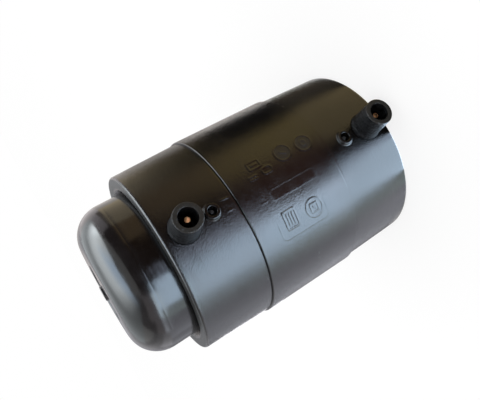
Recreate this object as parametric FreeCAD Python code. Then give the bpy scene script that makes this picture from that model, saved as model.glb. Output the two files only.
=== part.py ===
import FreeCAD, Part
import math
import os

# Electrofusion end cap for 75 mm polyethylene pipe, in millimetres.
# A short moulded coupler has a domed spigot plug pushed into one socket, against its stop ring.
# The open socket's resistance wire is wound round its bore from the foot of its terminal pin. The plug's
# own winding is fused in between the plug and the body, so it isn't modelled.
# Frame: +Z is the axis, the open socket faces down at Z = 0, and the terminals point to -Y.

# Pipe and plug
PIPE_DIAMETER = 75.0
PIPE_WALL = 6.8
BORE_CLEARANCE = 0.4
PLUG_RISE = 26.5
PLUG_CORNER = 16.0
PLUG_END_WALL = 7.5
PLUG_INNER_CHAMFER = 7.0
PLUG_FOOT_CHAMFER = 1.0
PANEL_DIAMETER = 29.0
PANEL_DEPTH = 0.4
GATE_DIAMETER = 7.4
GATE_RISE = 0.9

# Socket body
BODY_LENGTH = 120.6
CENTRE_WALL = 9.7
END_ZONE_LENGTH = 35.8
STEP_DROP = 0.8
STEP_SLOPE = 0.6
RIM_DROP = 0.8
RIM_CHAMFER = 0.8
LEAD_IN_WIDTH = 1.9
LEAD_IN_DEPTH = 3.0

# Stop ring at mid length, which the pipe and the plug butt against
STOP_HEIGHT = 2.6
STOP_WIDTH = 3.0

# Heating wire, moulded into the wall with only its crown proud of the bore
CROWN_WIDTH = 1.1
CROWN_HEIGHT = 0.16
CROWN_CLEARANCE = 0.02
WINDING_PITCH = 6.2
WINDING_TURNS = 5.5

# Terminal shroud, its heights measured outwards from the barrel
TERMINAL_INSET = 10.8
SHROUD_DIAMETER = 12.4
SHROUD_FOOT_DIAMETER = 14.0
SHROUD_RISE = 14.6
SHROUD_NECK_RISE = 3.0
SHROUD_FOOT_RISE = 1.0
SHROUD_BORE = 8.2
SHROUD_DEPTH = 12.2
SHROUD_CHAMFER = 0.4
POCKET_DEPTH = 1.6
SEAT_CLEARANCE = 0.1

# Terminal pin
PIN_DIAMETER = 4.0
PIN_LENGTH = 7.0
PIN_RECESS = 3.6
PIN_CHAMFER = 0.8
PIN_BASE_DIAMETER = 5.8
PIN_BASE_SINK = 2.0
PIN_STEM_DIAMETER = 3.0

# Fusion indicator, a small post in a raised collar
INDICATOR_INSET = 24.0
COLLAR_DIAMETER = 7.1
COLLAR_RISE = 1.5
INDICATOR_BORE = 4.0
INDICATOR_DEPTH = 5.2
POST_DIAMETER = 1.8
POST_RECESS = 1.4
POST_FOOT_DIAMETER = 3.8
POST_FOOT_HEIGHT = 1.2

ORIGIN = FreeCAD.Vector(0, 0, 0)
X_AXIS = FreeCAD.Vector(1, 0, 0)
Z_AXIS = FreeCAD.Vector(0, 0, 1)

# Values worked out from the driving sizes
plug_radius = PIPE_DIAMETER / 2
bore_radius = plug_radius + BORE_CLEARANCE
centre_radius = bore_radius + CENTRE_WALL
step_radius = centre_radius - STEP_DROP
end_radius = step_radius - RIM_DROP
mouth_radius = bore_radius + LEAD_IN_WIDTH
stop_radius = bore_radius - STOP_HEIGHT
middle = BODY_LENGTH / 2
stop_low = middle - STOP_WIDTH / 2
stop_high = middle + STOP_WIDTH / 2
plug_top = BODY_LENGTH + PLUG_RISE
crown_base = bore_radius - CROWN_CLEARANCE
wire_overrun = PIN_STEM_DIAMETER / 2 / (2 * math.pi * crown_base)


def barrel_radius(inset):
    """Radius of the drafted end zone at a distance from its mouth."""
    return end_radius + RIM_DROP * inset / (END_ZONE_LENGTH - STEP_SLOPE)


terminal_barrel = barrel_radius(TERMINAL_INSET)
indicator_barrel = barrel_radius(INDICATOR_INSET)
pocket_floor = terminal_barrel - POCKET_DEPTH
shroud_top = terminal_barrel + SHROUD_RISE
shroud_floor = shroud_top - SHROUD_DEPTH
pin_top = shroud_top - PIN_RECESS
pin_shoulder = pin_top - PIN_LENGTH
pin_seat = pocket_floor - PIN_BASE_SINK
collar_top = indicator_barrel + COLLAR_RISE
indicator_floor = collar_top - INDICATOR_DEPTH
post_top = collar_top - POST_RECESS


def turned(corners):
    """Solid of revolution about Z through (radius, height) corners."""
    points = [FreeCAD.Vector(r, 0, z) for r, z in corners]
    profile = Part.makePolygon(points + points[:1])
    return Part.Face(profile).revolve(ORIGIN, Z_AXIS, 360)


def radial(shape, height):
    """Stand a shape made along +Z on the barrel, pointing to -Y at a height."""
    placed = shape.copy()
    placed.rotate(ORIGIN, X_AXIS, 90)
    placed.translate(FreeCAD.Vector(0, 0, height))
    return placed


def cylinder(radius, low, high):
    """Cylinder about Z between two heights."""
    return Part.makeCylinder(radius, high - low, FreeCAD.Vector(0, 0, low))


def socket_body():
    """Moulded coupler body with stepped barrel, lead-ins, stop ring, and seats for what it carries."""
    half = [
        (stop_radius, stop_low),
        (bore_radius, stop_low),
        (bore_radius, LEAD_IN_DEPTH),
        (mouth_radius, 0),
        (end_radius - RIM_CHAMFER, 0),
        (end_radius, RIM_CHAMFER),
        (step_radius, END_ZONE_LENGTH - STEP_SLOPE),
        (centre_radius, END_ZONE_LENGTH),
    ]
    mirrored = [(r, BODY_LENGTH - z) for r, z in reversed(half)]
    body = turned(half + mirrored)
    pocket = SHROUD_FOOT_DIAMETER / 2 + SEAT_CLEARANCE
    base = PIN_BASE_DIAMETER / 2 + SEAT_CLEARANCE
    stem = PIN_STEM_DIAMETER / 2 + SEAT_CLEARANCE
    cuts = []
    for height in (INDICATOR_INSET, BODY_LENGTH - INDICATOR_INSET):
        body = body.fuse(radial(cylinder(COLLAR_DIAMETER / 2, indicator_floor, collar_top), height))
        cuts.append(radial(cylinder(INDICATOR_BORE / 2, indicator_floor, collar_top), height))
    for height in (TERMINAL_INSET, BODY_LENGTH - TERMINAL_INSET):
        cuts.append(radial(cylinder(pocket, pocket_floor, centre_radius), height))
        cuts.append(radial(cylinder(base, pin_seat, pocket_floor), height))
        cuts.append(radial(cylinder(stem, stop_radius, pin_seat), height))
    return body.cut(cuts)


def end_plug():
    """Hollow spigot plug with a rounded end, a shallow panel and a gate stub."""
    outside = turned([
        (0, stop_high),
        (plug_radius - PLUG_FOOT_CHAMFER, stop_high),
        (plug_radius, stop_high + PLUG_FOOT_CHAMFER),
        (plug_radius, plug_top),
        (0, plug_top),
    ])
    top_edge = max(outside.Edges, key=lambda edge: (edge.CenterOfMass.z, edge.Closed))
    rounded = outside.makeFillet(PLUG_CORNER, [top_edge])
    inner_radius = plug_radius - PIPE_WALL
    ceiling = plug_top - PLUG_END_WALL
    hollow = turned([
        (0, stop_high),
        (inner_radius, stop_high),
        (inner_radius, ceiling - PLUG_INNER_CHAMFER),
        (inner_radius - PLUG_INNER_CHAMFER, ceiling),
        (0, ceiling),
    ])
    panel = cylinder(PANEL_DIAMETER / 2, plug_top - PANEL_DEPTH, plug_top)
    gate = cylinder(GATE_DIAMETER / 2, plug_top - PANEL_DEPTH, plug_top + GATE_RISE)
    return rounded.cut([hollow, panel]).fuse(gate)


def heating_wire():
    """Crown of the open socket's winding, a low ridge swept up a helix from the pin's foot."""
    turns = WINDING_TURNS + wire_overrun
    start = TERMINAL_INSET - wire_overrun * WINDING_PITCH
    helix = Part.makeHelix(WINDING_PITCH, turns * WINDING_PITCH, crown_base)
    low = FreeCAD.Vector(crown_base, 0, -CROWN_WIDTH / 2)
    high = FreeCAD.Vector(crown_base, 0, CROWN_WIDTH / 2)
    top = FreeCAD.Vector(crown_base - CROWN_HEIGHT, 0, 0)
    ridge = Part.makePolygon([low, high, top, low])
    winding = Part.Wire(helix).makePipeShell([ridge], True, True)
    winding.rotate(ORIGIN, Z_AXIS, -90 - wire_overrun * 360)
    winding.translate(FreeCAD.Vector(0, 0, start))
    return winding


def terminal_shroud():
    """Sleeve round a terminal pin, made along +Z from the part's axis."""
    base_hole = PIN_BASE_DIAMETER / 2 + SEAT_CLEARANCE
    foot = SHROUD_FOOT_DIAMETER / 2
    outside = SHROUD_DIAMETER / 2
    bore = SHROUD_BORE / 2
    return turned([
        (base_hole, pocket_floor),
        (foot, pocket_floor),
        (foot, terminal_barrel + SHROUD_FOOT_RISE),
        (outside, terminal_barrel + SHROUD_NECK_RISE),
        (outside, shroud_top - SHROUD_CHAMFER),
        (outside - SHROUD_CHAMFER, shroud_top),
        (bore, shroud_top),
        (bore, shroud_floor),
        (base_hole, shroud_floor),
    ])


def terminal_pin():
    """Turned pin with a base that seats in the body and a stem down to the wire."""
    base = PIN_BASE_DIAMETER / 2
    stem = PIN_STEM_DIAMETER / 2
    pin = PIN_DIAMETER / 2
    return turned([
        (0, bore_radius),
        (stem, bore_radius),
        (stem, pin_seat),
        (base, pin_seat),
        (base, pin_shoulder),
        (pin, pin_shoulder),
        (pin, pin_top - PIN_CHAMFER),
        (pin - PIN_CHAMFER, pin_top),
        (0, pin_top),
    ])


def indicator_post():
    """Small post that rises in its collar when the melt builds up pressure."""
    foot = POST_FOOT_DIAMETER / 2
    post = POST_DIAMETER / 2
    return turned([
        (0, indicator_floor),
        (foot, indicator_floor),
        (foot, indicator_floor + POST_FOOT_HEIGHT),
        (post, indicator_floor + POST_FOOT_HEIGHT),
        (post, post_top),
        (0, post_top),
    ])


parts = {
    "socket_body": socket_body(),
    "end_plug": end_plug(),
    "heating_wire": heating_wire(),
}
for side, mouth, inward in (("open_side", 0.0, 1), ("plug_side", BODY_LENGTH, -1)):
    terminal_height = mouth + inward * TERMINAL_INSET
    indicator_height = mouth + inward * INDICATOR_INSET
    parts[side + "_shroud"] = radial(terminal_shroud(), terminal_height)
    parts[side + "_terminal_pin"] = radial(terminal_pin(), terminal_height)
    parts[side + "_indicator_post"] = radial(indicator_post(), indicator_height)

os.makedirs("parts", exist_ok=True)
for name, shape in parts.items():
    shape.exportStep(os.path.join("parts", name + ".step"))
    print(name, "solids", len(shape.Solids), "valid", shape.isValid(), "volume", round(shape.Volume, 1))
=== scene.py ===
import math

import bmesh
import bpy
import numpy as np
from mathutils import Matrix, Vector


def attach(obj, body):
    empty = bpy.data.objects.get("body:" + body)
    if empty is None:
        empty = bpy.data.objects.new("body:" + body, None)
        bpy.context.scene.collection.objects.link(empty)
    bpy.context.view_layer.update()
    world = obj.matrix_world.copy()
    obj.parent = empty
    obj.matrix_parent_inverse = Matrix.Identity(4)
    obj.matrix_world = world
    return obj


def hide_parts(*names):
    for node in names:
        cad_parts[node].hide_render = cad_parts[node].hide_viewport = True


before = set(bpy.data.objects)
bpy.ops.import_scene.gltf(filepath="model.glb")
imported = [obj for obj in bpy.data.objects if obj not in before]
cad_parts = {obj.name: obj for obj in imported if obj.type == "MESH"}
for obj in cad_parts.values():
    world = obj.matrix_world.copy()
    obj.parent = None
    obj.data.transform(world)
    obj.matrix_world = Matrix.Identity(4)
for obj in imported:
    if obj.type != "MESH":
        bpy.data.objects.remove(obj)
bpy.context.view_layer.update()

# Looks of the electrofusion end cap. Shapes are written in millimetres, in the CAD part's frame: +Z is the
# axis, the open socket stands on Z = 0, and the terminals point to -Y.

MM = 0.001

# Sizes as in the part's source: radii from the axis, and heights along it. CENTRE, GATE and PLUG_CORNER are a
# little smaller than there.
LENGTH = 120.6
BORE = 37.9
MOUTH = BORE + 1.9
LEAD_IN = 3.0
STOP = BORE - 2.6
STOP_LOW = LENGTH / 2 - 1.5
STOP_HIGH = LENGTH / 2 + 1.5
END = 46.0
STEP = END + 0.8
CENTRE = 47.58
ZONE = 35.8
TERMINAL_INSET = 10.8
INDICATOR_INSET = 24.0
TERMINALS = {"open_side": TERMINAL_INSET, "plug_side": LENGTH - TERMINAL_INSET}
INDICATORS = {"open_side": INDICATOR_INSET, "plug_side": LENGTH - INDICATOR_INSET}
PLUG = 37.5
PLUG_TOP = LENGTH + 26.5
PLUG_BORE = PLUG - 6.8
PLUG_CEILING = PLUG_TOP - 7.5
PLUG_INNER_CHAMFER = 7.0
PLUG_CORNER = 15.45
PANEL = 14.5
PANEL_DEPTH = 0.4
GATE = 3.6
GATE_RISE = 0.9

# Radii of what the terminals and indicators are made of, and the play round them
STEM = 1.5
BASE = 2.9
PIN = 2.0
FOOT = 7.0
SHROUD = 6.2
SHROUD_BORE = 4.1
WELL = 2.0
POST = 0.9
POST_FOOT = 1.9
PLAY = 0.1

# Their levels, measured outwards from the axis
TERMINAL_BARREL = 46.245
POCKET_FLOOR = TERMINAL_BARREL - 1.6
SHROUD_TOP = TERMINAL_BARREL + 14.6
SHROUD_FLOOR = SHROUD_TOP - 12.2
PIN_SEAT = POCKET_FLOOR - 2.0
PIN_TOP = SHROUD_TOP - 3.6
PIN_SHOULDER = PIN_TOP - 7.0
COLLAR_TOP = 48.045
WELL_FLOOR = COLLAR_TOP - 5.2
POST_TOP = COLLAR_TOP - 1.4

# Winding
WIRE_PITCH = 6.2
WIRE_START = TERMINAL_INSET
WIRE_TURNS = 5.5


# Mesh building

def rounded(corners, closed=True, arc_step=15.0):
    """Polyline through (radius, height, fillet) corners, with an arc drawn at each fillet."""
    count = len(corners)
    line = []
    for i, (r, h, fillet) in enumerate(corners):
        here = Vector((r, h))
        if fillet == 0 or (not closed and i in (0, count - 1)):
            line.append((r, h))
            continue
        back = (Vector(corners[i - 1][:2]) - here).normalized()
        ahead = (Vector(corners[(i + 1) % count][:2]) - here).normalized()
        half = back.angle(ahead) / 2
        centre = here + (back + ahead).normalized() * fillet / math.sin(half)
        start = here + back * fillet / math.tan(half) - centre
        end = here + ahead * fillet / math.tan(half) - centre
        turn = math.pi - 2 * half
        side = 1 if start.cross(end) > 0 else -1
        steps = max(2, math.ceil(math.degrees(turn) / arc_step))
        for k in range(steps + 1):
            a = side * turn * k / steps
            x = start.x * math.cos(a) - start.y * math.sin(a)
            y = start.x * math.sin(a) + start.y * math.cos(a)
            line.append((centre.x + x, centre.y + y))
    return line


def divided(line, pitch, closed=True):
    """The same polyline with its straight runs cut to a pitch, given as a function of the run's middle."""
    cut = []
    ends = line[1:] + (line[:1] if closed else [])
    for a, b in zip(line, ends):
        length = math.dist(a, b)
        steps = max(1, math.ceil(length / pitch((a[0] + b[0]) / 2, (a[1] + b[1]) / 2)))
        cut += [(a[0] + (b[0] - a[0]) * k / steps, a[1] + (b[1] - a[1]) * k / steps) for k in range(steps)]
    return cut if closed else cut + line[-1:]


def skin(name, points, wrap_rows, wrap_columns):
    """Object whose mesh joins a (rows, columns, 3) array of millimetre points."""
    rows, columns, _ = points.shape
    index = np.arange(rows * columns).reshape(rows, columns)
    if wrap_rows:
        index = np.vstack([index, index[:1]])
    if wrap_columns:
        index = np.hstack([index, index[:, :1]])
    quads = np.stack([index[:-1, :-1], index[:-1, 1:], index[1:, 1:], index[1:, :-1]], axis=-1).reshape(-1, 4)
    mesh = bpy.data.meshes.new(name)
    mesh.from_pydata((points.reshape(-1, 3) * MM).tolist(), [], quads.tolist())
    return placed(name, mesh)


def placed(name, mesh):
    """Object for a mesh, tidied: poles merged, normals outwards, creases sharp above 32 degrees."""
    made = bmesh.new()
    made.from_mesh(mesh)
    bmesh.ops.remove_doubles(made, verts=made.verts, dist=2e-6)
    bmesh.ops.recalc_face_normals(made, faces=made.faces)
    finish_shading(made)
    made.to_mesh(mesh)
    made.free()
    piece = bpy.data.objects.new(name, mesh)
    bpy.context.scene.collection.objects.link(piece)
    return piece


def finish_shading(made, angle=32.0):
    """Smooth faces, and sharp edges where two faces meet at more than an angle."""
    for face in made.faces:
        face.smooth = True
    for edge in made.edges:
        edge.smooth = len(edge.link_faces) == 2 and edge.calc_face_angle(0.0) < math.radians(angle)


def lathe(name, line, angles, closed=True, lift=None):
    """Piece turned about Z through (radius, height) points at the given angles from -Y. A lift moves its
    surface outwards, and is a function of radius, angle and height."""
    r = np.array([p[0] for p in line])[:, None]
    z = np.array([p[1] for p in line])[:, None]
    a = np.radians(angles)[None, :]
    if lift is not None:
        r = r + lift(r, a, z)
    points = np.stack([r * np.sin(a), -r * np.cos(a), z + 0 * a], axis=-1)
    return skin(name, points, closed, True)


def radial_lathe(name, line, height, columns=64, closed=True):
    """Piece turned about a line that leaves the barrel towards -Y at a height."""
    r = np.array([p[0] for p in line])[:, None]
    out = np.array([p[1] for p in line])[:, None]
    a = np.linspace(0, 2 * math.pi, columns, endpoint=False)[None, :]
    points = np.stack([r * np.cos(a), -out + 0 * a, height + r * np.sin(a)], axis=-1)
    return skin(name, points, closed, True)


def cut_away(piece, cutters):
    """Take the cutters out of a piece."""
    for cutter in cutters:
        step = piece.modifiers.new("cut", "BOOLEAN")
        step.operation = "DIFFERENCE"
        step.solver = "EXACT"
        step.object = cutter
    whole = bpy.data.meshes.new_from_object(piece.evaluated_get(bpy.context.evaluated_depsgraph_get()))
    piece.modifiers.clear()
    piece.data = whole
    made = bmesh.new()
    made.from_mesh(whole)
    finish_shading(made)
    made.to_mesh(whole)
    made.free()
    for cutter in cutters:
        bpy.data.objects.remove(cutter)


# Moulded marks, at degrees from -Y and heights along the axis
DISCS = [(8.8, 43.7), (9.5, 54.9)]
DISC_RADIUS = 3.9
RECESS = (-8.0, 58.8)
RECESS_HALF = (2.1, 11.4)

# How far the marks stand proud
BOLD_RISE = 0.15
FINE_RISE = 0.17
FAINT_RISE = 0.1
RIPPLE_RISE = 0.03


def on_barrel(angle, height):
    """Point on the barrel at degrees from -Y and a height."""
    a = math.radians(angle)
    return (CENTRE * math.sin(a), -CENTRE * math.cos(a), height)


# The marks are drawn on the unrolled barrel, where s is the distance round it from -Y and z the height

def soft_edge(distance, half_width, edge=0.3):
    """1 inside a stroke and 0 outside it, with a drafted edge."""
    t = np.clip((half_width + edge - distance) / edge, 0, 1)
    return t * t * (3 - 2 * t)


def ring_mark(s, z, centre, radius, half_width):
    """Circle drawn as one stroke."""
    return soft_edge(np.abs(np.hypot(s - centre[0], z - centre[1]) - radius), half_width)


def box_distance(s, z, centre, half, corner):
    """Distance from the outline of a rounded box, negative inside."""
    ds = np.abs(s - centre[0]) - half[0] + corner
    dz = np.abs(z - centre[1]) - half[1] + corner
    outside = np.hypot(np.maximum(ds, 0), np.maximum(dz, 0))
    return outside + np.minimum(np.maximum(ds, dz), 0) - corner


def frame_mark(s, z, centre, half, corner, half_width):
    """Rounded box drawn as one stroke."""
    return soft_edge(np.abs(box_distance(s, z, centre, half, corner)), half_width)


def bar_mark(s, z, start, end, half_width):
    """Straight stroke with round ends."""
    along = np.array(end) - np.array(start)
    t = np.clip(((s - start[0]) * along[0] + (z - start[1]) * along[1]) / (along @ along), 0, 1)
    return soft_edge(np.hypot(s - start[0] - t * along[0], z - start[1] - t * along[1]), half_width)


def rough_disc(s, z, centre, radius):
    """Spark-eroded patch, a fine ripple inside a circle."""
    inside = soft_edge(np.hypot(s - centre[0], z - centre[1]), radius - 0.6)
    return inside * np.sin(9.1 * s + 3.3 * z) * np.sin(8.3 * z - 2.9 * s)


def marks(r, a, z):
    """Height of the generic rings, bars and frames moulded on the front of the barrel."""
    a = (a + math.pi) % (2 * math.pi) - math.pi
    s = CENTRE * a + 0 * z
    z = z + 0 * a
    deg = CENTRE * math.pi / 180
    low_disc, high_disc = [(angle * deg, height) for angle, height in DISCS]
    recess = (RECESS[0] * deg, RECESS[1])
    bold = [
        ring_mark(s, z, low_disc, DISC_RADIUS, 0.26),
        ring_mark(s, z, low_disc, 1.3, 0.3),
        ring_mark(s, z, high_disc, DISC_RADIUS, 0.26),
        bar_mark(s, z, (8.6 * deg, 53.9), (10.1 * deg, 55.9), 0.34),
        frame_mark(s, z, (5.2 * deg, 65.8), (1.5, 2.4), 1.4, 0.22),
        frame_mark(s, z, (10.9 * deg, 69.8), (1.9, 2.9), 0.5, 0.2),
        bar_mark(s, z, (10.9 * deg, 68.4), (10.9 * deg, 71.2), 0.24),
        bar_mark(s, z, (5.4 * deg, 71.4), (5.4 * deg, 75.2), 0.24),
        bar_mark(s, z, (3.8 * deg, 71.6), (3.8 * deg, 75.0), 0.24),
        bar_mark(s, z, (2.6 * deg, 87.8), (2.9 * deg, 90.4), 0.26),
        bar_mark(s, z, (-4.2 * deg, 88.4), (-3.4 * deg, 90.2), 0.26),
    ]
    fine = [
        ring_mark(s, z, (-24.6 * deg, 54.9), 4.2, 0.2),
        frame_mark(s, z, (-24.6 * deg, 54.9), (1.9, 1.9), 0.4, 0.16),
        bar_mark(s, z, (-25.2 * deg, 54.4), (-24.0 * deg, 55.4), 0.2),
        frame_mark(s, z, (-23.5 * deg, 67.5), (4.1, 3.0), 0.3, 0.18),
        bar_mark(s, z, (-18.9 * deg, 65.0), (-18.9 * deg, 70.0), 0.5) * 1.4,
    ]
    for k in range(3):
        fine.append(bar_mark(s, z, (-26.6 * deg, 66.1 + 1.4 * k), (-20.6 * deg, 66.1 + 1.4 * k), 0.14))
    faint = [
        frame_mark(s, z, (-25.4 * deg, 61.6), (6.2, 12.6), 2.4, 0.1) * np.clip((-21 * deg - s) / 2.0, 0, 1),
        frame_mark(s, z, recess, (RECESS_HALF[0] + 0.3, RECESS_HALF[1] + 0.3), 0.5, 0.1) * 0.5,
        ring_mark(s, z, (-5.9 * deg, 74.7), 0.9, 0.16) * 0.5,
        bar_mark(s, z, (-9.4 * deg, 74.0), (-9.4 * deg, 76.4), 0.2) * 0.5,
    ]
    strokes = [BOLD_RISE * np.max(bold, axis=0), FINE_RISE * np.max(fine, axis=0),
               FAINT_RISE * np.max(faint, axis=0)]
    height = np.max(strokes, axis=0)
    for centre in (low_disc, high_disc):
        height = height + RIPPLE_RISE * rough_disc(s, z, centre, DISC_RADIUS)
    # The recessed bar's floor tilts, so that it mirrors the dark above it
    sunk = np.clip(-box_distance(s, z, recess, RECESS_HALF, 0.4) / 0.35, 0, 1)
    tilt = 0.04 - 0.11 * np.clip((s - recess[0] + 2.1 * deg) / (5.0 * deg), 0, 1)
    height = height + tilt * sunk * sunk * (3 - 2 * sunk)
    return np.where(r > END - 0.5, height, 0)


# Socket body

def coarse_and_fine(low, high, fine, coarse):
    """Angles round the axis in degrees, closer together between two of them."""
    near = np.arange(low, high, fine)
    far = np.linspace(high, low + 360, math.ceil((low + 360 - high) / coarse), endpoint=False)
    return np.concatenate([near, far])


def half_body(rim_fillet, mouth_fillet):
    """Section of the body from its stop ring out to one mouth and back along the barrel."""
    return [
        (STOP, STOP_LOW, 0.5),
        (BORE, STOP_LOW, 0.3),
        (BORE, LEAD_IN, 1.5),
        (MOUTH, 0.0, mouth_fillet),
        (END, 0.0, rim_fillet),
        (STEP - 0.02, ZONE - 1.0, 0.0),
        (STEP - 0.14, ZONE - 0.6, 0.0),
        (CENTRE, ZONE - 0.5, 0.45),
    ]


lower = half_body(1.0, 0.7)
upper = [(r, LENGTH - z, fillet) for r, z, fillet in reversed(half_body(1.3, 2.6))]


def body_pitch(r, z):
    """Rows close together where the marks are, and a millimetre apart on the rest of the outside."""
    if r > END - 0.5 and (39 < z < 77.5 or 87 < z < 91.5):
        return 0.26
    return 1.0 if r > 45 else 4.0


body = lathe(
    "moulded_body",
    divided(rounded(lower + upper), body_pitch),
    coarse_and_fine(-36.0, 15.0, fine=0.34, coarse=2.75),
    lift=marks,
)

# Seats for the terminals, and holes for the cups of the indicators' collars
inside, outside = 30.0, 52.0
stem_hole, base_hole, pocket = STEM + PLAY, BASE + PLAY, FOOT + PLAY
seat = [(0, inside), (stem_hole, inside), (stem_hole, PIN_SEAT), (base_hole, PIN_SEAT),
        (base_hole, POCKET_FLOOR), (pocket, POCKET_FLOOR), (pocket, outside), (0, outside)]
cup_low, cup_radius = 41.0, 2.6
hole = [(0, cup_low), (cup_radius, cup_low), (cup_radius, outside), (0, outside)]
cutters = [radial_lathe("seat_cut", seat, height, closed=False) for height in TERMINALS.values()]
cutters += [radial_lathe("well_cut", hole, height, closed=False) for height in INDICATORS.values()]
cut_away(body, cutters)

collars = []
for side, height in INDICATORS.items():
    cup = rounded([
        (0, WELL_FLOOR - 1.0, 0),
        (cup_radius + 0.02, WELL_FLOOR - 1.0, 0),
        (cup_radius + 0.02, 45.6, 0),
        (4.6, 45.9, 0),
        (3.62, 46.8, 0.8),
        (3.5, COLLAR_TOP, 0.45),
        (WELL + 0.1, COLLAR_TOP, 0.25),
        (WELL, WELL_FLOOR, 0.2),
        (0, WELL_FLOOR, 0),
    ], closed=False)
    collars.append(radial_lathe(side + "_collar", cup, height, 72, closed=False))

# End plug, with a fine line round it a little above the body's mouth

fine_line = 131.3
plug_line = rounded([
    (PLUG_BORE, STOP_HIGH, 0.3),
    (PLUG - 0.4, STOP_HIGH, 0.0),
    (PLUG, STOP_HIGH + 1.0, 0.5),
    (PLUG, fine_line - 0.2, 0.0),
    (PLUG - 0.02, fine_line - 0.05, 0.0),
    (PLUG - 0.02, fine_line + 0.05, 0.0),
    (PLUG, fine_line + 0.2, 0.0),
    (PLUG, PLUG_TOP, PLUG_CORNER),
    (PANEL + 0.3, PLUG_TOP, 0.3),
    (PANEL, PLUG_TOP - PANEL_DEPTH, 0.2),
    (GATE + 0.3, PLUG_TOP - PANEL_DEPTH, 0.3),
    (GATE, PLUG_TOP + GATE_RISE, 0.3),
    (0, PLUG_TOP + GATE_RISE, 0),
], closed=False, arc_step=5.0)
hollow_line = rounded([
    (0, PLUG_CEILING, 0),
    (PLUG_BORE - PLUG_INNER_CHAMFER, PLUG_CEILING, 3.0),
    (PLUG_BORE, PLUG_CEILING - PLUG_INNER_CHAMFER, 3.0),
    (PLUG_BORE, STOP_HIGH, 0.3),
], closed=False)
plug = lathe(
    "rounded_plug",
    divided(hollow_line[:-1] + plug_line, lambda r, z: 2.5, closed=False),
    np.arange(0, 360, 2.0),
    closed=False,
)

# Terminals

shrouds = []
pins = []
posts = []
for side, height in TERMINALS.items():
    sleeve = rounded([
        (BASE + PLAY, POCKET_FLOOR, 0),
        (FOOT - PLAY, POCKET_FLOOR, 0),
        (FOOT - PLAY, TERMINAL_BARREL + 0.9, 0.5),
        (SHROUD + 0.3, TERMINAL_BARREL + 2.4, 1.2),
        (SHROUD, SHROUD_TOP, 0.45),
        (SHROUD_BORE + 0.05, SHROUD_TOP, 0.25),
        (SHROUD_BORE - 0.05, SHROUD_FLOOR, 0.5),
        (BASE + PLAY, SHROUD_FLOOR, 0),
    ])
    shrouds.append(radial_lathe(side + "_sleeve", divided(sleeve, lambda r, z: 1.5), height, 72))
    turned = rounded([
        (0, BORE, 0),
        (STEM, BORE, 0),
        (STEM, PIN_SEAT, 0),
        (BASE, PIN_SEAT, 0.2),
        (BASE, PIN_SHOULDER, 0.25),
        (PIN, PIN_SHOULDER, 0.15),
        (PIN, PIN_TOP - 0.9, 0.3),
        (PIN - 0.9, PIN_TOP, 0.15),
        (0, PIN_TOP, 0),
    ], closed=False)
    turned = divided(turned, lambda r, z: 1.0, closed=False)
    pins.append(radial_lathe(side + "_pin", turned, height, 48, closed=False))
for side, height in INDICATORS.items():
    post_line = rounded([
        (0, WELL_FLOOR + 0.01, 0),
        (POST_FOOT, WELL_FLOOR + 0.01, 0),
        (POST_FOOT, WELL_FLOOR + 1.2, 0.3),
        (POST, WELL_FLOOR + 1.2, 0.3),
        (POST, POST_TOP, 0.3),
        (0, POST_TOP, 0),
    ], closed=False)
    posts.append(radial_lathe(side + "_post", post_line, height, 40, closed=False))

# Heating wire: the round crown of a wire set in the bore, which starts over the pin's foot

crown_radius = 0.93
crown_height = 0.18
crown_centre = BORE - crown_height + crown_radius
overrun = STEM / (2 * math.pi * BORE)
turn = np.linspace(-overrun, WIRE_TURNS, 480)[:, None]
section = np.radians(np.linspace(-46, 46, 9))[None, :]
wire_r = crown_centre - crown_radius * np.cos(section) + 0 * turn
wire_z = WIRE_START + WIRE_PITCH * turn + crown_radius * np.sin(section)
wire_a = 2 * math.pi * turn
wire_points = np.stack([wire_r * np.sin(wire_a), -wire_r * np.cos(wire_a), wire_z], axis=-1)
wire = skin("wire_crown", wire_points, False, True)


# Materials

def linear(code):
    """Linear RGBA of an sRGB hex colour."""
    parts = [int(code[i:i + 2], 16) / 255 for i in (1, 3, 5)]
    return [c / 12.92 if c <= 0.04045 else ((c + 0.055) / 1.055) ** 2.4 for c in parts] + [1.0]


# Sockets of a colour Mix node, whose names stand for several types: its inputs, and its output
FACTOR, FIRST, SECOND = 0, 6, 7
MIXED = 2


def add(tree, kind, inputs=(), **settings):
    """Node of a kind with its settings. Its inputs, by name or in order, are set to values, or linked from
    sockets or from the first outputs of nodes."""
    made = tree.nodes.new("ShaderNode" + kind)
    for key, value in settings.items():
        setattr(made, key, value)
    for socket, value in inputs.items() if isinstance(inputs, dict) else enumerate(inputs):
        if isinstance(value, bpy.types.Node):
            value = value.outputs[0]
        if isinstance(value, bpy.types.NodeSocket):
            tree.links.new(value, made.inputs[socket])
        else:
            made.inputs[socket].default_value = value
    return made


def material(name):
    """Empty node material and its tree."""
    made = bpy.data.materials.new(name)
    made.use_nodes = True
    made.node_tree.nodes.clear()
    return made, made.node_tree


def per_metre(size):
    """Scale of a noise whose features have a size in millimetres."""
    return 1 / (size * MM)


def scuffs(tree, where, stretch, turn, keep):
    """Thin broken lines: a long stretched noise kept only where it peaks. Real scuffs are about 0.1 mm wide,
    and are drawn at 0.9 mm so that they show."""
    turned = add(tree, "VectorRotate", {"Vector": where, "Angle": math.radians(turn)}, rotation_type="Y_AXIS")
    drawn = add(tree, "VectorMath", [turned, stretch], operation="MULTIPLY")
    lines = add(tree, "TexNoise", {"Vector": drawn, "Scale": per_metre(0.9), "Detail": 1.0})
    return add(tree, "MapRange", [lines, keep, keep + 0.08])


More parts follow.
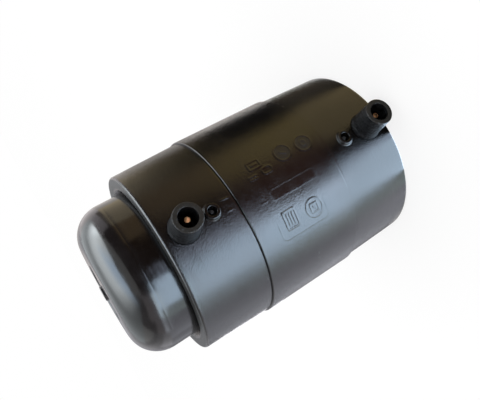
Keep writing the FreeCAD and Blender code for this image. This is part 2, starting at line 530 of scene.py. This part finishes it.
def within_box(tree, where, centre, half):
    """1 inside a box of a centre and half size in millimetres, and 0 outside it."""
    away = add(tree, "VectorMath", [where, [c * MM for c in centre]], operation="SUBTRACT")
    share = add(tree, "VectorMath", [away, [h * MM for h in half]], operation="DIVIDE")
    axes = add(tree, "SeparateXYZ", [add(tree, "VectorMath", [share], operation="ABSOLUTE")]).outputs
    across = add(tree, "Math", [axes["X"], axes["Y"]], operation="MAXIMUM")
    reach = add(tree, "Math", [across, axes["Z"]], operation="MAXIMUM")
    return add(tree, "MapRange", [reach, 0.9, 1.0, 1.0, 0.0])


# Roughness of the black polyethylene's cut or spark-eroded faces
DULL = 0.42


def polyethylene(name, dark, dust, rough, grain, scratch, ends=None, discs=(), polished=None):
    """Black pressure-pipe polyethylene: fine orange-peel grain, slow sink waves, flow lines round the axis,
    scuffs and a trace of dust. The depths of the grain and the scratches are in millimetres. The end faces of
    a piece of a given length are duller, and so are spark-eroded discs on its front. A box can be polished,
    almost without the grain."""
    made, tree = material(name)
    where = add(tree, "TexCoord").outputs["Object"]
    around = add(tree, "VectorMath", [where, (0.12, 0.12, 1.0)], operation="MULTIPLY")
    # The real grain is about 0.3 mm fine, and is drawn at 0.75 mm so that it shows
    peel = add(tree, "TexNoise", {"Vector": where, "Scale": per_metre(0.75), "Detail": 3.0,
                                  "Roughness": 0.65})
    wave = add(tree, "TexNoise", {"Vector": where, "Scale": per_metre(22.0), "Detail": 1.0})
    flow = add(tree, "TexNoise", {"Vector": around, "Scale": per_metre(3.0)})
    patch = add(tree, "TexNoise", {"Vector": where, "Scale": per_metre(9.0), "Detail": 4.0, "Roughness": 0.6})

    # Relief, from the slowest waves to the grain
    relief = add(tree, "Bump", {"Height": wave, "Strength": 1.0, "Distance": 0.25 * MM})
    relief = add(tree, "Bump", {"Height": flow, "Strength": 1.0, "Distance": 0.03 * MM, "Normal": relief})
    round_lines = scuffs(tree, where, stretch=(0.04, 0.04, 1.0), turn=4.0, keep=0.66)
    cross_lines = scuffs(tree, where, stretch=(1.0, 0.5, 0.05), turn=38.0, keep=0.71)
    lines = add(tree, "Math", [round_lines, cross_lines], operation="MAXIMUM")
    relief = add(tree, "Bump", {"Height": lines, "Strength": 1.0, "Distance": scratch * MM, "Normal": relief})
    kept = 1.0
    if polished is not None:
        kept = add(tree, "MapRange", [within_box(tree, where, *polished), 0.0, 1.0, 1.0, 0.1])
    relief = add(tree, "Bump", {"Height": peel, "Strength": kept, "Distance": grain * MM, "Normal": relief})

    # Shine, with the dullest finish winning
    patches = add(tree, "MapRange", [patch, 0.3, 0.7, rough - 0.05, rough + 0.07])
    streaks = add(tree, "MapRange", [flow, 0.58, 0.8, 0.0, 0.06])
    roughness = add(tree, "Math", [patches, streaks], operation="ADD")
    if ends is not None:
        half = ends * MM / 2
        along = add(tree, "SeparateXYZ", [where]).outputs["Z"]
        height = add(tree, "Math", [along, half], operation="SUBTRACT")
        reach = add(tree, "Math", [height], operation="ABSOLUTE")
        face = add(tree, "MapRange", [reach, half - 0.4 * MM, half - 0.02 * MM, 0.0, DULL])
        roughness = add(tree, "Math", [roughness, face], operation="MAXIMUM")
    for centre in discs:
        away = add(tree, "VectorMath", [where, [c * MM for c in centre]], operation="DISTANCE")
        disc = add(tree, "MapRange", [away.outputs["Value"], (DISC_RADIUS - 0.4) * MM, DISC_RADIUS * MM,
                                      DULL, 0.0])
        roughness = add(tree, "Math", [roughness, disc], operation="MAXIMUM")

    dusty = add(tree, "MapRange", [patch, 0.45, 0.75])
    colour = add(tree, "Mix", {FACTOR: dusty, FIRST: linear(dark), SECOND: linear(dust)},
                 data_type="RGBA").outputs[MIXED]
    shader = add(tree, "BsdfPrincipled", {"Base Color": colour, "Roughness": roughness, "IOR": 1.51,
                                          "Normal": relief})
    add(tree, "OutputMaterial", {"Surface": shader})
    return made


def plastic(name, dark, light, rough, grain, feature, specular, lip=None):
    """Matte moulded plastic with a spark-eroded texture of a depth and a size in millimetres. A lip can be
    shinier past a distance in front of the axis, and painted paler there: painted light for its outward face."""
    made, tree = material(name)
    where = add(tree, "TexCoord").outputs["Object"]
    fine = add(tree, "TexNoise", {"Vector": where, "Scale": per_metre(feature)})
    patch = add(tree, "TexNoise", {"Vector": where, "Scale": per_metre(1.6), "Detail": 3.0, "Roughness": 0.6})
    relief = add(tree, "Bump", {"Height": fine, "Strength": 1.0, "Distance": grain * MM})
    mottled = add(tree, "MapRange", [patch, 0.35, 0.7])
    colour = add(tree, "Mix", {FACTOR: mottled, FIRST: linear(dark), SECOND: linear(light)},
                 data_type="RGBA").outputs[MIXED]
    if lip is not None:
        # The lip's paler colour is painted light, standing for the light on its outward face
        start, wear_and_painted_light = lip
        front = add(tree, "SeparateXYZ", [where]).outputs["Y"]
        face = add(tree, "MapRange", [front, -(start + 0.2) * MM, -start * MM, 0.85, 0.0])
        colour = add(tree, "Mix", {FACTOR: face, FIRST: colour, SECOND: linear(wear_and_painted_light)},
                     data_type="RGBA").outputs[MIXED]
        rough = add(tree, "Math", [face, -0.28, rough], operation="MULTIPLY_ADD")
    shader = add(tree, "BsdfPrincipled", {"Base Color": colour, "Roughness": rough, "IOR": 1.49,
                                          "Specular IOR Level": specular, "Normal": relief})
    add(tree, "OutputMaterial", {"Surface": shader})
    return made


def metal(name, clean, dull, rough, painted_shade_short_of=None):
    """Bare copper alloy, tarnished in patches, and with painted shade short of a distance in front of the
    axis.
    """
    made, tree = material(name)
    where = add(tree, "TexCoord").outputs["Object"]
    patch = add(tree, "TexNoise", {"Vector": where, "Scale": per_metre(1.6), "Detail": 4.0, "Roughness": 0.6})
    fine = add(tree, "TexNoise", {"Vector": where, "Scale": per_metre(0.2), "Detail": 1.0})
    relief = add(tree, "Bump", {"Height": fine, "Strength": 1.0, "Distance": 0.01 * MM})
    wear_and_painted_light = add(tree, "MapRange", [patch, 0.4, 0.7])
    if painted_shade_short_of is not None:
        # Short of that distance the dull colour is painted shade, for the shank deep in its shroud
        front = add(tree, "SeparateXYZ", [where]).outputs["Y"]
        shank = add(tree, "MapRange", [front, -(painted_shade_short_of + 0.05) * MM, -(painted_shade_short_of - 0.05) * MM])
        wear_and_painted_light = add(tree, "Math", [shank, wear_and_painted_light], operation="MAXIMUM")
    colour = add(tree, "Mix", {FACTOR: wear_and_painted_light, FIRST: linear(clean), SECOND: linear(dull)},
                 data_type="RGBA").outputs[MIXED]
    roughness = add(tree, "MapRange", [patch, 0.3, 0.7, rough, rough + 0.15])
    shader = add(tree, "BsdfPrincipled", {"Base Color": colour, "Metallic": 1.0, "Roughness": roughness,
                                          "Normal": relief})
    add(tree, "OutputMaterial", {"Surface": shader})
    return made


# Injection-moulded polyethylene. Its orange peel blurs what the barrel mirrors into a silky, speckled sheen,
# and the polished recess and the spark-eroded discs break it with their own finishes.
body_plastic = polyethylene("body_polyethylene_black", "#0D0C0B", "#141210", rough=0.18, grain=0.12,
                            scratch=0.02, ends=LENGTH, discs=[on_barrel(*disc) for disc in DISCS],
                            polished=(on_barrel(*RECESS), (RECESS_HALF[0], 1.5, RECESS_HALF[1])))

# The same polymer from a smoother mould, so the plug mirrors the studio more sharply
plug_plastic = polyethylene("plug_polyethylene_black", "#0A0807", "#100D0C", rough=0.17, grain=0.01,
                            scratch=0.004)

# Glass-filled moulding with a spark-eroded skin: charcoal and matt, with a slightly shiny lip painted paler
# as painted light for its outward face. The real skin is about 0.2 mm fine, and is drawn at 1.2 mm so that
# its mottle shows.
shroud_plastic = plastic("shroud_polymer_charcoal", "#030304", "#1C1C1D", rough=0.42, grain=0.4, feature=1.2,
                         specular=0.18, lip=(SHROUD_TOP - 0.6, "#31302E"))

# Plain moulded pin, dull grey at the bottom of its cup
post_plastic = plastic("indicator_polymer_grey", "#1C1C1E", "#29292B", rough=0.45, grain=0.02, feature=0.4,
                       specular=0.4)

# Turned brass, bright orange on its cut end, with painted shade in dark brown down the shank inside its
# shroud
pin_metal = metal("terminal_brass", "#FFC48C", "#1A110B", rough=0.6, painted_shade_short_of=PIN_TOP - 0.08)

# Drawn copper, warm and patchy under a thin film of polymer
wire_metal = metal("resistance_wire_copper", "#C98557", "#8A5638", rough=0.32)

# Which piece stands for which node

for piece, node, slot, look in (
    [(body, "socket_body", "body_polyethylene", body_plastic)]
    + [(collar, "socket_body", "body_polyethylene", body_plastic) for collar in collars]
    + [(plug, "end_plug", "plug_polyethylene", plug_plastic)]
    + [(made, side + "_shroud", "shroud_plastic", shroud_plastic) for made, side in zip(shrouds, TERMINALS)]
    + [(made, side + "_terminal_pin", "pin_metal", pin_metal) for made, side in zip(pins, TERMINALS)]
    + [(made, side + "_indicator_post", "post_plastic", post_plastic)
       for made, side in zip(posts, INDICATORS)]
    + [(wire, "heating_wire", "wire_metal", wire_metal)]
):
    piece.data.materials.clear()
    piece.data.materials.append(look)
    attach(piece, "root")
    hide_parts(node)


# Studio: one lamp for the shadow, and cards that only reflections see. The camera's and the lamp's places are
# in millimetres, and the lamp's width is in metres.

CAMERA = (-35.63, -237.85, 154.64)
KEY_PLACE = (-500, -900, 900)
KEY_AIM = (0.5, 0.85, -0.8)
KEY_WIDTH = 0.5
KEY_RADIANCE = 3.5

key_data = bpy.data.lights.new("key", "AREA")
key_data.size = KEY_WIDTH
key_data.energy = KEY_RADIANCE * math.pi * KEY_WIDTH ** 2
key = bpy.data.objects.new("key", key_data)
key.matrix_world = Vector(KEY_AIM).to_track_quat("-Z", "Y").to_matrix().to_4x4()
key.matrix_world.translation = Vector(KEY_PLACE) * MM
key.visible_camera = key.visible_glossy = False
bpy.context.scene.collection.objects.link(key)


def glowing(name, mesh, tint, radiance, shading=None):
    """Studio card with a glow, plain or shaded by a function of its tree, seen only in reflections."""
    made = bpy.data.objects.new(name, mesh)
    look, tree = material(name)
    glow = add(tree, "Emission", [linear(tint), radiance])
    if shading is not None:
        shading(tree, glow)
    add(tree, "OutputMaterial", {"Surface": glow})
    mesh.materials.append(look)
    bpy.context.scene.collection.objects.link(made)
    made.visible_camera = made.visible_diffuse = made.visible_shadow = made.visible_transmission = False


# Floor cards lie just above the white floor, at a level in millimetres
CARD_LEVEL = -0.05
CARD_POINTS = 7


def floor_card(name, start, end, near, far, tint, radiance):
    """Card lying on the floor. It fans out from the barrel, between the camera's mirrored lines of sight at
    two angles from -Y and between two distances, so that it shows as a straight band on the barrel."""
    inner, outer = [], []
    for angle in np.radians(np.linspace(start, end, CARD_POINTS)):
        normal = Vector((math.sin(angle), -math.cos(angle)))
        edge = normal * CENTRE
        sight = Vector(CAMERA[:2]) - edge
        away = (2 * normal.dot(sight) * normal - sight).normalized()
        inner.append((*((edge + away * near) * MM), CARD_LEVEL * MM))
        outer.append((*((edge + away * far) * MM), CARD_LEVEL * MM))
    mesh = bpy.data.meshes.new(name)
    mesh.from_pydata(inner + outer[::-1], [], [tuple(range(2 * CARD_POINTS))])
    glowing(name, mesh, tint, radiance)


# Backdrops stand round the object, at a distance in metres
BACKDROP_DISTANCE = 4.0
BACKDROP_STEPS = 24


def backdrop(name, start, end, low, high, tint, radiance):
    """Curved upright card, between two angles from -Y and two heights in metres."""
    angles = np.radians(np.linspace(start, end, BACKDROP_STEPS + 1))
    ring = [(BACKDROP_DISTANCE * math.sin(a), -BACKDROP_DISTANCE * math.cos(a)) for a in angles]
    above = len(ring)
    mesh = bpy.data.meshes.new(name)
    mesh.from_pydata([(x, y, low) for x, y in ring] + [(x, y, high) for x, y in ring], [],
                     [(i, i + 1, above + i + 1, above + i) for i in range(BACKDROP_STEPS)])
    glowing(name, mesh, tint, radiance)


# Overhead softbox, which lights the plug's rounded corner. Its outline is in metres.
SOFTBOX_HEIGHT = 0.547
SOFTBOX_OUTLINE = [(-0.37, -0.27), (-0.1, -0.31), (0.25, -0.3), (0.52, -0.24), (0.82, 0.0), (1.15, 0.45),
                   (1.4, 0.8), (-0.37, 0.8)]


def softbox_shading(tree, glow):
    """Blue-white in front, paler and dimmer towards the back, with soft left and right ends."""
    axes = add(tree, "SeparateXYZ", [add(tree, "TexCoord").outputs["Object"]]).outputs

    # Radiance: two bands that lean to the right, dimmed at the front, with soft ends
    lean = add(tree, "Math", [axes["X"], -0.25], operation="MULTIPLY")
    back = add(tree, "Math", [axes["Y"], lean], operation="ADD")
    first = add(tree, "MapRange", [back, -0.07, 0.13, 6.3, 0.0])
    first_right = add(tree, "MapRange", [axes["X"], 0.5, 0.66, 0.66, 1.0])
    first = add(tree, "Math", [first, first_right], operation="MULTIPLY")
    second = add(tree, "MapRange", [back, 0.08, 0.21, 2.9, 0.5])
    level = add(tree, "Math", [first, second], operation="ADD")
    front = add(tree, "MapRange", [back, -0.36, -0.16, 0.85, 1.0])
    level = add(tree, "Math", [level, front], operation="MULTIPLY")
    slant = add(tree, "Math", [axes["Y"], -0.35, axes["X"]], operation="MULTIPLY_ADD")
    left = add(tree, "MapRange", [slant, -0.26, 0.0])
    right = add(tree, "MapRange", [axes["X"], 0.85, 1.2, 1.0, 0.5])
    ends = add(tree, "Math", [left, right], operation="MULTIPLY")
    level = add(tree, "Math", [level, ends], operation="MULTIPLY")
    level = add(tree, "Math", [level, 1.1], operation="ADD")
    tree.links.new(level.outputs[0], glow.inputs["Strength"])

    # Tint, paler on the right and at the back
    pale_right = add(tree, "MapRange", [axes["X"], 0.15, 0.4])
    pale_back = add(tree, "MapRange", [back, -0.2, -0.05])
    pale = add(tree, "Math", [pale_right, pale_back], operation="MAXIMUM")
    tint = add(tree, "Mix", {FACTOR: pale, FIRST: linear("#D4E9FF"), SECOND: linear("#F3FBFF")},
               data_type="RGBA")
    tree.links.new(tint.outputs[MIXED], glow.inputs["Color"])


softbox = bpy.data.meshes.new("overhead_softbox")
softbox.from_pydata([(x, y, SOFTBOX_HEIGHT) for x, y in SOFTBOX_OUTLINE], [],
                    [tuple(range(len(SOFTBOX_OUTLINE)))])
glowing("overhead_softbox", softbox, "#FFFFFF", 1.0, softbox_shading)

# Bands of floor cards. Each range of distances in millimetres is what one stretch of the barrel mirrors. Its
# rows hold the band's start and end angle, its tint and its radiance: from grey at the foot of the picture to
# blue-white, near black, olive, black and pale grey at the top.
FLOOR_BANDS = {
    (-3, 60): [  # the open side's zone
        (-95, -77, "#F9F9FF", 0.33),
        (-77, -64, "#F3F5FF", 1.0),
        (-64, -56, "#F1F3FF", 1.4),
        (-56, -46, "#F1F3FF", 1.85),
        (-46, -36, "#EDFCFF", 2.2),
        (-36, -14, "#D0E8FF", 9.0),
        (-14, -10.5, "#D0E5FF", 6.0),
        (-10.5, 3, "#FFF3F3", 0.0),
        (3, 34, "#FFE5AD", 0.9),
        (34, 60.5, "#FFEDD3", 0.15),
        (60.5, 80, "#FFFFF9", 0.9),
    ],
    (60, 230): [  # the centre zone
        (-95, -77, "#F9F9FF", 0.5),
        (-77, -64, "#F3F5FF", 1.15),
        (-64, -44, "#F1F3FF", 1.5),
        (-44, -36, "#EDFCFF", 3.0),
        (-36, -21, "#D0E8FF", 10.2),
        (-21, -17, "#D4E8FF", 15.5),
        (-17, 8, "#FFB3A0", 0.32),
        (8, 28, "#FFE299", 1.0),
        (28, 55.5, "#FFFFFF", 0.02),
        (55.5, 61, "#FFF8F3", 1.7),
        (61, 80, "#FFF8F3", 0.52),
    ],
    (230, 650): [  # the plug side's zone
        (-95, -82, "#F9F9FF", 2.6),
        (-82, -77, "#F9F9FF", 0.35),
        (-77, -64, "#F3F5FF", 0.95),
        (-64, -44, "#F1F3FF", 1.5),
        (-44, -36, "#EDFCFF", 2.1),
        (-36, -17, "#D0E8FF", 9.6),
        (-17, -9, "#D7E5FF", 6.2),
        (-9, 8, "#FFCBAA", 0.08),
        (8, 28, "#FFDAAA", 0.6),
        (28, 53, "#FFE7B3", 0.22),
        (53, 61, "#FFF8F3", 0.85),
        (61, 80, "#FFF8F3", 0.55),
    ],
    (650, 4000): [  # the plug
        (-95, -82, "#F9F9FF", 0.75),
        (-82, -77, "#F9F9FF", 0.28),
        (-77, -64, "#F3F5FF", 0.78),
        (-64, -44, "#F1F3FF", 1.5),
        (-44, -36, "#EDFCFF", 2.5),
        (-36, -17, "#D0E8FF", 9.6),
        (-17, 12, "#FFBC95", 0.08),
        (12, 28, "#FFDAAA", 0.65),
        (28, 53, "#FFEDCB", 1.25),
        (53, 80, "#FFF8F3", 1.05),
    ],
}
bands = [(start, end, near, far, tint, radiance) for (near, far), rows in FLOOR_BANDS.items()
         for start, end, tint, radiance in rows]
for number, band in enumerate(bands):
    floor_card("floor_card_%d" % number, *band)

# Backdrops, for the silhouettes and the dome: start and end angle, low and high edge, tint and radiance
BACKDROPS = [
    (-110, -80, 0.0, 0.5, "#EDF3FF", 3.0),
    (-80, -40, 0.0, 0.5, "#DDF1FF", 9.0),
    (-110, -85, 0.5, 1.7, "#FFF7FC", 0.9),
    (-110, -85, 1.7, 5.0, "#FFF7FC", 0.4),
    (-85, -40, 0.5, 2.6, "#FFF7FC", 1.0),
    (-85, -40, 2.6, 5.0, "#FFF7FC", 0.4),
    (-40, 75, 0.0, 2.4, "#FFE7ED", 0.15),
    (75, 118, 0.0, 0.5, "#FFF1E7", 0.4),
    (75, 118, 0.5, 2.4, "#FFF8FD", 1.1),
    (118, 150, 0.0, 2.4, "#FFF8F9", 1.3),
    (150, 172, 0.0, 0.9, "#FFF8F7", 0.75),
    (172, 210, 0.0, 0.9, "#F9F8FF", 0.6),
    (210, 250, 0.0, 0.9, "#F9F8FF", 1.15),
    (150, 250, 0.9, 1.7, "#FCFAFF", 0.74),
    (150, 250, 1.7, 2.3, "#FCFAFF", 0.56),
]
for number, row in enumerate(BACKDROPS):
    backdrop("backdrop_%d" % number, *row)


def background_rays(tree):
    """1 for the rays that show the white background: camera, glossy and transmission."""
    path = add(tree, "LightPath").outputs
    seen = add(tree, "Math", [path["Is Camera Ray"], path["Is Glossy Ray"]], operation="MAXIMUM")
    return add(tree, "Math", [seen, path["Is Transmission Ray"]], operation="MAXIMUM")


# White paper floor, clear from below. Where it is seen, a share of it glows white, so that only a little of
# the object's shadow is left. Its sizes are in metres.
FLOOR_HALF = 20
FLOOR_LEVEL = -0.0001
GLOW_SHARE = 0.7
GLOW_RADIANCE = 1.08

floor_corners = [(-FLOOR_HALF, -FLOOR_HALF), (FLOOR_HALF, -FLOOR_HALF), (FLOOR_HALF, FLOOR_HALF),
                 (-FLOOR_HALF, FLOOR_HALF)]
floor_mesh = bpy.data.meshes.new("floor")
floor_mesh.from_pydata([(x, y, FLOOR_LEVEL) for x, y in floor_corners], [], [(0, 1, 2, 3)])
floor = bpy.data.objects.new("floor", floor_mesh)
floor_look, tree = material("studio_floor")
share = add(tree, "Math", [background_rays(tree), GLOW_SHARE], operation="MULTIPLY")
paper = add(tree, "BsdfDiffuse", {"Color": linear("#F8F8F8")})
white = add(tree, "Emission", [linear("#FFFFFF"), GLOW_RADIANCE])
mixed = add(tree, "MixShader", [share, paper, white])
below = add(tree, "NewGeometry").outputs["Backfacing"]
sided = add(tree, "MixShader", [below, mixed, add(tree, "BsdfTransparent")])
add(tree, "OutputMaterial", {"Surface": sided})
floor_mesh.materials.append(floor_look)
bpy.context.scene.collection.objects.link(floor)

# White surroundings, a little dimmer as a light than as a background
AMBIENT = 0.85

world = bpy.data.worlds.new("studio")
bpy.context.scene.world = world
world.use_nodes = True
tree = world.node_tree
tree.nodes.clear()
level = add(tree, "MapRange", [background_rays(tree), 0.0, 1.0, AMBIENT, 1.0])
add(tree, "OutputWorld", {"Surface": add(tree, "Background", [linear("#FFFFFF"), level])})

bpy.context.scene.view_settings.view_transform = "Standard"

# Camera, at the photograph's viewing angle and rolled as it is, so up in the picture leans to +X
PICTURE_RIGHT = Vector((-0.53566, -0.20855, -0.81828))
PICTURE_UP = Vector((0.82809, -0.31945, -0.46066))

camera_data = bpy.data.cameras.new("camera")
camera_data.sensor_width = 36.0
camera_data.lens = 37.12
camera_data.clip_start = 0.01
camera = bpy.data.objects.new("camera", camera_data)
towards_viewer = PICTURE_RIGHT.cross(PICTURE_UP)
camera.matrix_world = Matrix((PICTURE_RIGHT, PICTURE_UP, towards_viewer)).transposed().to_4x4()
camera.matrix_world.translation = Vector(CAMERA) * MM
bpy.context.scene.collection.objects.link(camera)
bpy.context.scene.camera = camera
